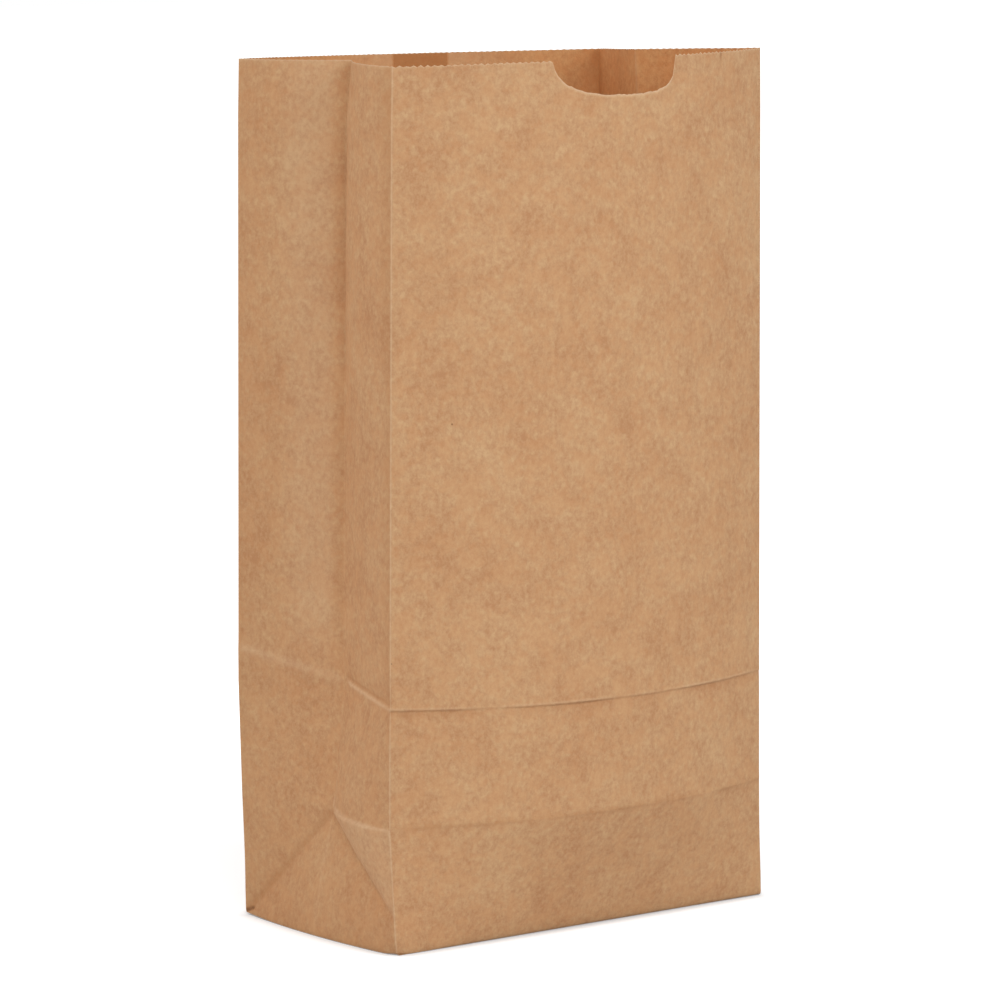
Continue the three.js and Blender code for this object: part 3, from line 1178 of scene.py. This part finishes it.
    def build(self) -> bpy.types.Object:
        """Builds the bag's mesh, cuts its mouth and dresses it.

        Returns:
            The finished piece, riding on the bag's body.
        """
        grid = self._grid()
        mesh = self._mesh(grid)
        piece = bpy.data.objects.new("kraft_bag", mesh)
        bpy.context.scene.collection.objects.link(piece)
        self.mouth.cut(piece, self.finish.make())
        piece.data.name = "kraft_bag"
        piece.data.polygons.foreach_set("use_smooth", np.ones(len(piece.data.polygons), dtype=bool))
        piece.data.set_sharp_from_angle(angle=math.radians(self.sharp_angle))
        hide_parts(NODE)
        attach(piece, BODY)
        return piece

    def _columns(self, strip: Strip) -> Array:
        """The places of the fine columns across one strip, closer together beside its folds and its seam.

        Args:
            strip: The strip of the sheet.

        Returns:
            The columns' places in order.
        """
        width = self.sheet.width(strip)
        extra = [self.fold_step, width - self.fold_step]
        if strip is Strip.BACK:
            extra.append(self._seam_end() + self.seam_edge)
        if strip is Strip.FRONT:
            extra += [self.slit - self.fold_step, self.slit, self.slit + self.fold_step]
        return np.sort(np.concatenate([np.arange(0.0, width, self.column_step), extra]))

    def _seam_end(self) -> float:
        """How far across the back panel the glued lap's cut edge is."""
        return self.sheet.seam_from_right + self.sheet.seam_lap

    def _seam_lift(self, strip: Strip, across: Array) -> Array:
        """How far the outer face stands proud where the back panel's edge laps over.

        Args:
            strip: The strip of the sheet.
            across: Places across it.

        Returns:
            The height of the lap at each place, in millimetres.
        """
        if strip is not Strip.BACK:
            return np.zeros_like(across)
        start = self.sheet.seam_from_right
        ramp = np.clip((across - start + self.seam_ramp) / self.seam_ramp, 0.0, 1.0)
        edge = np.clip((self._seam_end() + self.seam_edge - across) / self.seam_edge, 0.0, 1.0)
        return self.sheet.paper * np.minimum(ramp, edge)

    def _rows(self) -> Array:
        """Chooses the rows below the mouth's band, closer together about the creases.

        Returns:
            Their heights up the sheet.
        """
        sheet = self.sheet
        low, high = sheet.lower_crease, sheet.upper_crease
        return np.concatenate([
            [0.0, self.fold_step],
            np.arange(1.0, low),
            [low - self.fold_step, low, low + self.fold_step],
            np.arange(low + 1, low + 4, 1.0),
            np.arange(low + 4, high - 8, 2.0),
            np.arange(high - 8, high - 2, 1.0),
            np.arange(high - 2, high + 1, 0.25),
            np.arange(high + 1, high + 6, 0.5),
            np.arange(high + 6, high + 13, 1.0),
            np.arange(high + 13, high + 25, 4.0),
            np.linspace(high + 25, sheet.shoulder, self.upper_rows),
        ])

    def _grid(self) -> SheetGrid:
        """Folds the flat sheet's grid, adds its creases and ripples, and rounds its folds.

        Returns:
            The whole grid, round the bag.
        """
        rows = self._rows()
        strips = [self._strip(strip, rows) for strip in Strip]
        joined = {name: np.concatenate([part[name] for part in strips], axis=1) for name in strips[0]}
        counts = [part["points"].shape[1] for part in strips]
        points = joined["points"] + self._normals(joined["points"]) * joined["relief"][..., None]
        for fold in np.cumsum([0, *counts[:-1]]):
            beside = (points[:, fold - 1] + points[:, fold + 1]) / 2
            points[:, fold] = (points[:, fold] + beside) / 2
        starts = np.cumsum([0.0, *[self.sheet.width(strip) for strip in Strip]])[:-1]
        return SheetGrid(
            points=self._blunted(points),
            normals=self._normals(points),
            lift=joined["lift"],
            girth=joined["across"][0] + np.repeat(starts, counts),
            pull=joined["pull"],
            wear=(joined["wear"], joined["inner_wear"]),
            mark=(joined["mark"], joined["inner_mark"]),
            coarse=np.flatnonzero(joined["keep"][0] > 0.5).tolist(),
            rises_left=joined["rises_left"][0] > 0.5,
            wall_rows=len(rows),
        )

    def _strip(self, strip: Strip, rows: Array) -> dict[str, Array]:
        """One strip of the grid.

        Args:
            strip: The strip of the sheet.
            rows: The heights of the rows below the mouth's band.

        Returns:
            Its points, and what is known of each of them, all as rows by columns.
        """
        sheet = self.sheet
        width = sheet.width(strip)
        across = self._columns(strip)
        heights = self._heights(strip, across, rows)
        wide = np.broadcast_to(across, heights.shape)
        relief = np.zeros_like(heights)
        # Dark tones are pressed paper and painted shade, pale tones wear and painted highlights
        mark = self.tones.outer_mark(strip, wide, heights)
        wear = self.tones.outer_wear_and_highlight(strip, wide, heights)
        for crease in self.creases(strip):
            moved, line = crease.relief(wide, heights)
            relief += moved
            mark = np.maximum(mark, line * crease.pressed_and_shaded)
            wear = np.maximum(wear, line * crease.worn_and_highlit)
        relief -= self.foot_round * np.clip(1.0 - heights, 0.0, 1.0) ** 2
        flat = np.clip(hump(wide / width) * self.ripple_rise, 0.0, 1.0)
        flat *= smoothstep(0.0, self.ripple_foot, heights)
        start = self.ripple_shift * list(Strip).index(strip)
        for ripple in self.ripples:
            relief += flat * ripple.relief(wide + start, heights)
        pull = np.zeros_like(heights)
        teeth = self.front_teeth if strip is Strip.FRONT else self.other_teeth
        toothed = np.where(sheet.in_notch(strip, across), self.notch_teeth, teeth)
        pull[-len(self.edge_pull):] = np.array(self.edge_pull)[:, None] * toothed
        inner_mark, inner_wear = self.tones.inner(strip, wide, heights)
        keep = np.ones_like(across)
        if not strip.is_gusset:
            at_end = (across < self.face_step) | (across > width - self.face_step)
            keep = ~np.isclose(across % self.face_step, self.column_step) | at_end
        leans_left = strip.is_gusset and not strip.starts_at_corner
        return {
            "points": sheet.points(strip, across, heights),
            "relief": relief,
            "lift": np.broadcast_to(self._seam_lift(strip, across), heights.shape),
            "across": wide,
            "pull": pull,
            "wear": wear,
            "mark": mark,
            "inner_wear": inner_wear,
            "inner_mark": inner_mark,
            "keep": np.broadcast_to(keep.astype(float), heights.shape),
            "rises_left": np.full_like(heights, leans_left, dtype=float),
        }

    def _heights(self, strip: Strip, across: Array, rows: Array) -> Array:
        """The rows' heights up the sheet: level ones below the shoulder, then up to the cut mouth.

        Args:
            strip: The strip of the sheet.
            across: The columns' places across it.
            rows: The heights of the level rows.

        Returns:
            Heights as rows by columns.
        """
        torn = np.random.default_rng(self.tear_seed).normal(0.0, self.notch_tear, len(across))
        mouth = self.sheet.mouth_height(strip, across)
        mouth = mouth + np.where(self.sheet.in_notch(strip, across), torn, 0.0)
        below = mouth - self.edge_rows[0]
        top = rows[-1]
        upper = [top + (below - top) * share for share in self.shoulder_rows]
        upper += [mouth - drop for drop in self.edge_rows]
        return np.vstack([np.repeat(rows[:, None], len(across), axis=1), *upper])

    def _blunted(self, points: Array) -> Array:
        """Blunts or draws out the four corners of the bottom, and lifts them off the floor a little.

        Args:
            points: The folded sheet's points.

        Returns:
            The moved points.
        """
        moved = points.copy()
        for wear in self.corner_wear:
            corner = self.sheet.levels[0].line(wear.corner)
            inward = -np.sign(corner) * np.array([1.0, 1.0, 0.0]) / math.sqrt(2)
            distance = np.linalg.norm(points - corner, axis=2)
            share = np.exp(-((distance / wear.reach) ** 2))[..., None]
            moved += share * (wear.inward * inward + np.array([0.0, 0.0, wear.lift]))
        return moved

    @staticmethod
    def _normals(points: Array) -> Array:
        """Outward unit normals of a grid that closes on itself round the bag.

        Args:
            points: Points as rows by columns by three.

        Returns:
            One normal for each point.
        """
        across = np.roll(points, -1, axis=1) - np.roll(points, 1, axis=1)
        up = np.gradient(points, axis=0)
        normal = np.cross(across, up)
        return normal / np.linalg.norm(normal, axis=2, keepdims=True)

    def _mesh(self, grid: SheetGrid) -> bpy.types.Mesh:
        """Turns the grid into a closed mesh of the paper's thickness, with its bottom.

        Args:
            grid: The folded sheet.

        Returns:
            A mesh in metres with the attributes that the mouth and the finish read.
        """
        wall = grid.wall_rows
        every = list(range(grid.columns))
        picked = [(row, column) for row in range(wall) for column in grid.coarse]
        picked += [(row, column) for row in range(wall, grid.points.shape[0]) for column in every]
        row_of, column_of = np.array(picked).T
        normals = grid.normals[row_of, column_of]
        sheet_points = grid.points[row_of, column_of]
        outer = sheet_points + normals * grid.lift[row_of, column_of][:, None]
        inner = sheet_points - normals * self.sheet.paper
        inner[: len(grid.coarse), 2] = outer[: len(grid.coarse), 2] + self.sheet.paper
        faces, foot, mouth = self._skin(grid)

        shell = MeshParts()
        shell.add(outer, faces)
        # The inner faces run the other way round from the same first point, so both skins split alike
        inside = shell.add(inner, [[face[0], *face[:0:-1]] for face in faces])
        for a, b in zip(mouth, mouth[1:] + mouth[:1]):
            shell.faces.append([a, b, b + inside, a + inside])
        floor = self.sheet.levels[0].front_left[2]
        under = shell.add(np.array([[0.0, 0.0, floor]]), [])
        over = shell.add(np.array([[0.0, 0.0, floor + self.sheet.paper]]), [])
        for a, b in zip(foot, foot[1:] + foot[:1]):
            shell.faces.append([under, b, a])
            shell.faces.append([over, a + inside, b + inside])
        girth, pull = grid.girth[column_of] * MM, grid.pull[row_of, column_of]
        values = {
            "girth": (girth, girth),
            "pull": (pull, pull),
            # Tones that the finish reads: wear with painted highlights, pressed creases with painted shade,
            # and the inner faces that get a painted glow
            "fold_wear": [face[row_of, column_of] for face in grid.wear],
            "pressed_and_shade_mark": [face[row_of, column_of] for face in grid.mark],
            "inside": (np.zeros_like(pull), np.ones_like(pull)),
        }
        self._bottom_flaps(shell)
        mesh = bpy.data.meshes.new("kraft_bag")
        mesh.from_pydata((np.concatenate(shell.points) * MM).tolist(), [], shell.faces)
        for name, (outside, within) in values.items():
            attribute = mesh.attributes.new(name, "FLOAT", "POINT")
            full = np.zeros(len(mesh.vertices))
            full[: len(outside)] = outside
            full[inside: inside + len(within)] = within
            attribute.data.foreach_set("value", full)
        mesh.validate()
        return mesh

    def _skin(self, grid: SheetGrid) -> tuple[list[list[int]], list[int], list[int]]:
        """Joins the grid's points into one skin: coarse columns on the wall and fine ones at the mouth.

        Args:
            grid: The folded sheet.

        Returns:
            The faces, and the loops of points along the foot and along the mouth.
        """
        coarse, fine, wall = len(grid.coarse), grid.columns, grid.wall_rows
        faces = []
        for row in range(wall - 1):
            for i in range(coarse):
                right = (i + 1) % coarse
                base, next_row = row * coarse, (row + 1) * coarse
                quad = [base + i, base + right, next_row + right, next_row + i]
                # A quad splits from its first point, so the start decides which way its diagonal leans
                faces.append(quad[1:] + quad[:1] if grid.rises_left[grid.coarse[i]] else quad)
        first = wall * coarse
        last_row = (wall - 1) * coarse
        for i in range(coarse):
            right = (i + 1) % coarse
            end = grid.coarse[right] if right else fine
            span = [first + column % fine for column in range(grid.coarse[i], end + 1)]
            faces.append([last_row + i, last_row + right, *span[::-1]])
        band = grid.points.shape[0] - wall
        for row in range(band - 1):
            for i in range(fine):
                right = (i + 1) % fine
                base, next_row = first + row * fine, first + (row + 1) * fine
                faces.append([base + i, base + right, next_row + right, next_row + i])
        mouth = [first + (band - 1) * fine + i for i in range(fine)]
        return faces, list(range(coarse)), mouth

    def _bottom_flaps(self, shell: MeshParts) -> None:
        """Adds the layers of the folded bottom: two long flaps outside and the two end flaps inside.

        Args:
            shell: The bag's mesh, which gets a plate for each flap.
        """
        sheet = self.sheet
        corner = sheet.levels[0].front_right
        inset, paper, gap = self.foot_round + self.flap_inset, sheet.paper, self.flap_gap
        wide = corner[0] - max(wear.inward for wear in self.corner_wear)
        deep = -corner[1] - inset
        tongue = wide - deep
        for side, low in ((1, 0.0), (-1, paper)):
            right = [(wide, deep), (tongue, 0.0), (tongue, -sheet.bottom_lap)]
            outline = [*right, *[(-x, y) for x, y in right[::-1]]]
            shell.plate([(x, y * side) for x, y in outline], low, low + paper - gap)
        inside = corner[2] + paper + gap
        for side in (1, -1):
            outline = [(wide, -deep), (tongue, 0.0), (wide, deep)]
            shell.plate([(x * side, y) for x, y in outline], inside, inside + paper)


@dataclass(frozen=True)
class Lamp:
    """A large round soft lamp: its place and diameter in metres, its power in watts and its tint."""

    name: str
    place: Point
    size: float
    power: float
    tint: Colour

    def hang(self, aim: Point) -> None:
        """Hangs the lamp so that it faces a point.

        Args:
            aim: The point, in metres.
        """
        lamp = bpy.data.lights.new(self.name, "AREA")
        lamp.shape = "DISK"
        lamp.size = self.size
        lamp.energy = self.power
        lamp.color = self.tint
        holder = bpy.data.objects.new(self.name, lamp)
        holder.location = self.place
        holder.rotation_mode = "QUATERNION"
        holder.rotation_quaternion = (Vector(aim) - Vector(self.place)).to_track_quat("-Z", "Y")
        bpy.context.scene.collection.objects.link(holder)


@dataclass(frozen=True)
class Studio:
    """A white floor, soft light all round with a gentle key, and a camera at the photograph's angle."""

    azimuth: float = 38.22
    elevation: float = 7.69
    distance: float = 1.6447
    focal_pixels: float = 5237.6
    frame_pixels: float = 1000.0
    sensor: float = 36.0
    far_clip: float = 100.0
    aim: Point = (0.0, 0.0, 0.135)
    aim_right: float = -0.00181
    aim_up: float = -0.00547
    world_colour: Colour = (1.0, 0.95, 0.94)
    world_strength: float = 0.36
    lamps: tuple[Lamp, ...] = (
        Lamp("right", (0.9, -1.9, 1.3), 1.4, 18.0, (0.98, 1.0, 1.02)),
        Lamp("left", (-1.3, -1.6, 1.3), 1.4, 19.0, (1.0, 0.98, 0.96)),
        Lamp("back", (-1.6, 1.5, 0.9), 1.6, 15.0, (1.0, 0.86, 0.76)),
    )
    floor_size: float = 12.0
    floor_colour: Colour = (0.85, 0.90, 0.94)
    floor_glow: float = 0.56
    contact_reach: float = 0.0055
    contact_light: float = 0.3
    contact_samples: int = 4
    resting_gap: tuple[float, float] = (0.002, 0.001)
    shadow_reach: tuple[float, float] = (0.15, 0.45)

    def build(self) -> None:
        """Makes the floor, the lights, the world and the camera."""
        self._floor()
        self._world()
        for lamp in self.lamps:
            lamp.hang(self.aim)
        self._camera()

    def _floor(self) -> None:
        """A wide white floor under the bag."""
        half = self.floor_size / 2
        mesh = bpy.data.meshes.new("floor")
        corners = [(-half, -half, 0), (half, -half, 0), (half, half, 0), (-half, half, 0)]
        mesh.from_pydata(corners, [], [(0, 1, 2, 3)])
        mesh.materials.append(self._floor_finish())
        floor = bpy.data.objects.new("floor", mesh)
        bpy.context.scene.collection.objects.link(floor)

    def _floor_finish(self) -> bpy.types.Material:
        """Matt white that glows to the eye and keeps a light shadow.

        Returns:
            A material that is clear from below, and clear to light on what rests on the floor.
        """
        material = bpy.data.materials.new("floor_white")
        material.use_nodes = True
        material.node_tree.nodes.clear()
        graph = Graph(material.node_tree)
        place = graph.node("ShaderNodeTexCoord").outputs["Object"]
        away = graph.value("ShaderNodeVectorMath", {"operation": "LENGTH"}, output=1, Vector=place)
        glow = self.floor_glow + away.ramp(*self.shadow_reach) * (1.0 - self.floor_glow)
        lit = graph.node("ShaderNodeAddShader")
        matt = graph.node("ShaderNodeBsdfDiffuse", Color=(*self.floor_colour, 1.0))
        white = graph.node("ShaderNodeEmission", Color=graph.mix(self._seen(graph) * glow, BLACK, WHITE))
        graph.feed(lit.inputs[0], matt.outputs[0])
        graph.feed(lit.inputs[1], white.outputs[0])

        crevice = {"samples": self.contact_samples}
        reach = self.contact_reach
        open_floor = graph.value("ShaderNodeAmbientOcclusion", crevice, output=1, Distance=reach)
        black = graph.node("ShaderNodeBsdfDiffuse", Color=BLACK)
        share = self.contact_light + open_floor * (1.0 - self.contact_light)
        shaded = graph.mix_shader(share, black, lit)

        below = Value(graph, graph.node("ShaderNodeNewGeometry").outputs["Backfacing"])
        ray = Value(graph, graph.node("ShaderNodeLightPath").outputs["Ray Length"])
        clear = below + ray.ramp(*self.resting_gap)
        sided = graph.mix_shader(clear, shaded, graph.node("ShaderNodeBsdfTransparent"))
        graph.node("ShaderNodeOutputMaterial", Surface=sided.outputs[0])
        return material

    def _world(self) -> None:
        """Even white light, seen as plain white behind the bag."""
        world = bpy.data.worlds.new("studio")
        bpy.context.scene.world = world
        world.use_nodes = True
        world.node_tree.nodes.clear()
        graph = Graph(world.node_tree)
        seen = self._seen(graph)
        strength = self.world_strength + seen * (1.0 - self.world_strength)
        colour = graph.mix(seen, (*self.world_colour, 1.0), WHITE)
        back = graph.node("ShaderNodeBackground", Color=colour, Strength=strength)
        graph.node("ShaderNodeOutputWorld", Surface=back.outputs[0])

    @staticmethod
    def _seen(graph: Graph) -> Value:
        """1 for the rays that show the background: from the eye, off a gloss or through a clear finish.

        Args:
            graph: The nodes of the floor or the world.

        Returns:
            The mask.
        """
        path = graph.node("ShaderNodeLightPath")
        kinds = ("Camera", "Glossy", "Transmission")
        return sum(Value(graph, path.outputs[f"Is {kind} Ray"]) for kind in kinds).ramp(0.0, 1.0)

    def _camera(self) -> None:
        """A long lens at the photograph's viewing angle."""
        turn, tilt = math.radians(self.azimuth), math.radians(self.elevation)
        back = Vector((-math.sin(turn) * math.cos(tilt), -math.cos(turn) * math.cos(tilt), math.sin(tilt)))
        right = Vector((math.cos(turn), -math.sin(turn), 0.0))
        up = back.cross(right)
        lens = bpy.data.cameras.new("camera")
        lens.sensor_width = self.sensor
        lens.lens = self.sensor * self.focal_pixels / self.frame_pixels
        lens.clip_end = self.far_clip
        camera = bpy.data.objects.new("camera", lens)
        camera.location = Vector(self.aim) + right * self.aim_right + up * self.aim_up + back * self.distance
        camera.rotation_mode = "QUATERNION"
        camera.rotation_quaternion = (-back).to_track_quat("-Z", "Y")
        bpy.context.scene.collection.objects.link(camera)
        bpy.context.scene.camera = camera


def main() -> None:
    """Builds the studio and the bag."""
    logging.basicConfig(level=logging.INFO, format="%(name)s: %(message)s")
    bpy.context.scene.view_settings.view_transform = "Standard"
    Studio().build()
    bag = PaperBag().build()
    log.info("%s: %d points, %d faces", bag.name, len(bag.data.vertices), len(bag.data.polygons))


if __name__ == "__main__":
    main()
